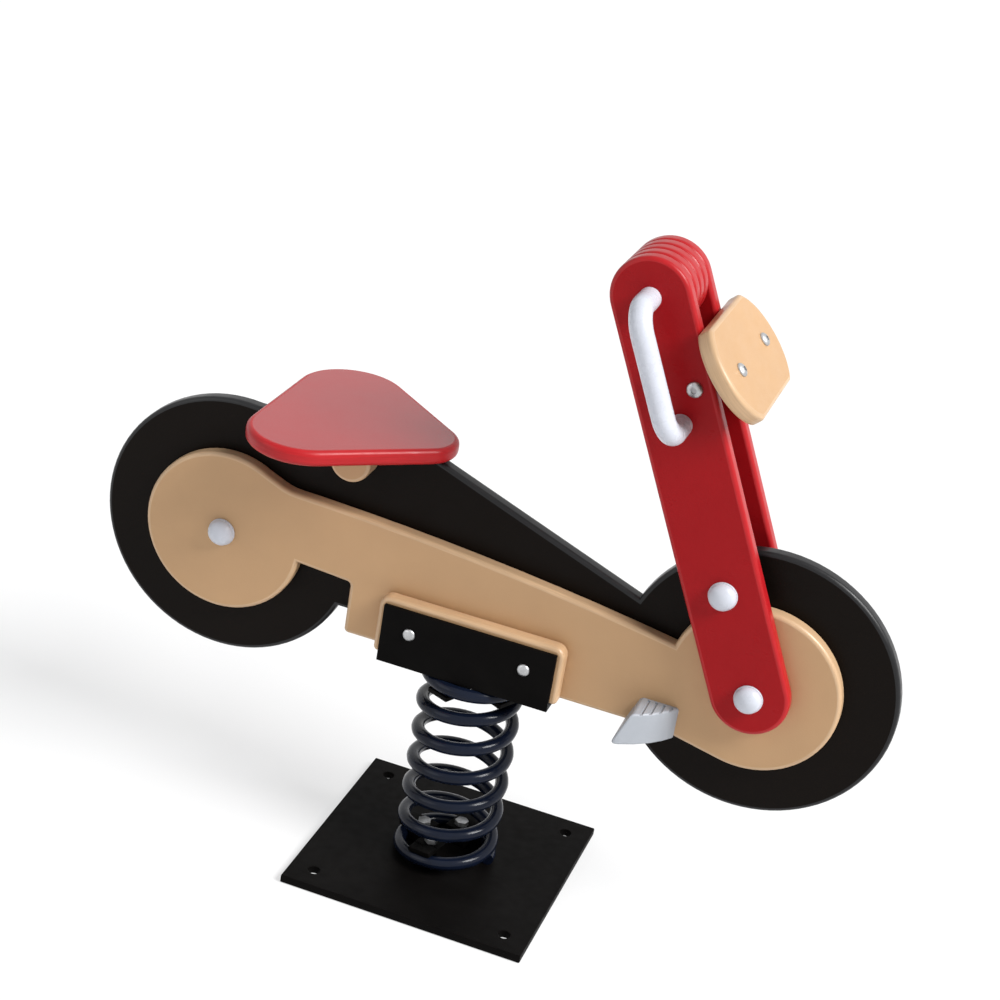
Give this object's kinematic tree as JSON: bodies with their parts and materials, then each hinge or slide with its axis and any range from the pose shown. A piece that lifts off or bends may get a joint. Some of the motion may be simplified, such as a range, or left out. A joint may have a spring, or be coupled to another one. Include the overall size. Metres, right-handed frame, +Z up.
{
  "type": "spring rider",
  "caption": "Playground spring rider in the shape of a motorcycle: bolted plastic sheet body with seat, fork, grips and footrests, rocking on a coil spring with an anchor plate.",
  "frame": {"origin": "middle of the base plate's underside, under the spring's axis", "axes": "+X forwards, the way the rider faces; +Y to the rider's left; +Z up"},
  "size_m": [0.9679, 0.3, 0.823],
  "materials": {
    "black_sheet": "satin",
    "tan_sheet": "satin",
    "red_sheet": "satin",
    "white_cap": "gloss",
    "white_grip": "gloss",
    "grey_tread": "satin",
    "spring_coat": "gloss",
    "black_coat": "satin",
    "zinc": "zinc plated"
  },
  "bodies": {
    "base": {"base_plate": "black_coat", "lower_clips": "black_coat", "lower_clip_bolts": "zinc"},
    "spring": {"coil_spring": "spring_coat"},
    "rider": {"centre_panel": "black_sheet", "fork_low_spacers": "black_sheet", "side_panel_right": "tan_sheet", "side_panel_left": "tan_sheet", "doubler_right": "tan_sheet", "doubler_left": "tan_sheet", "headlight_plate": "tan_sheet", "seat_block_right": "tan_sheet", "seat_block_left": "tan_sheet", "fork_panel_right": "red_sheet", "fork_panel_left": "red_sheet", "fork_spacer_right": "red_sheet", "fork_spacer_middle": "red_sheet", "fork_spacer_left": "red_sheet", "seat": "red_sheet", "bolt_caps_right": "white_cap", "bolt_caps_left": "white_cap", "handle_right": "white_grip", "handle_left": "white_grip", "footrest_right": "grey_tread", "footrest_left": "grey_tread", "upper_clips": "black_coat", "saddle_bracket": "black_coat", "headlight_bracket": "black_coat", "upper_clip_bolts": "zinc", "saddle_bolts": "zinc", "saddle_nuts": "zinc", "fork_bolts": "zinc", "rear_hub_bolt": "zinc", "hub_nuts": "zinc", "handle_rods": "zinc", "handle_spacer": "zinc", "headlight_bolts": "zinc", "headlight_nuts": "zinc", "headlight_cross_bolt": "zinc", "headlight_cross_nut": "zinc", "seat_block_bolt": "zinc", "seat_block_nut": "zinc", "seat_screws": "zinc", "footrest_studs": "zinc"}
  },
  "joints": [
    {"name": "rock_fore_aft", "type": "hinge", "parent": "base", "child": "spring", "pos_m": [0, 0, 0.0877], "axis": [0, 1, 0], "range_deg": [-15, 15], "stiffness_Nm_per_rad": 273, "deforming": ["coil_spring"]},
    {"name": "rock_side", "type": "hinge", "parent": "spring", "child": "rider", "pos_m": [0, 0, 0.1522], "axis": [1, 0, 0], "range_deg": [-10, 10], "stiffness_Nm_per_rad": 273, "deforming": ["coil_spring"]}
  ]
}
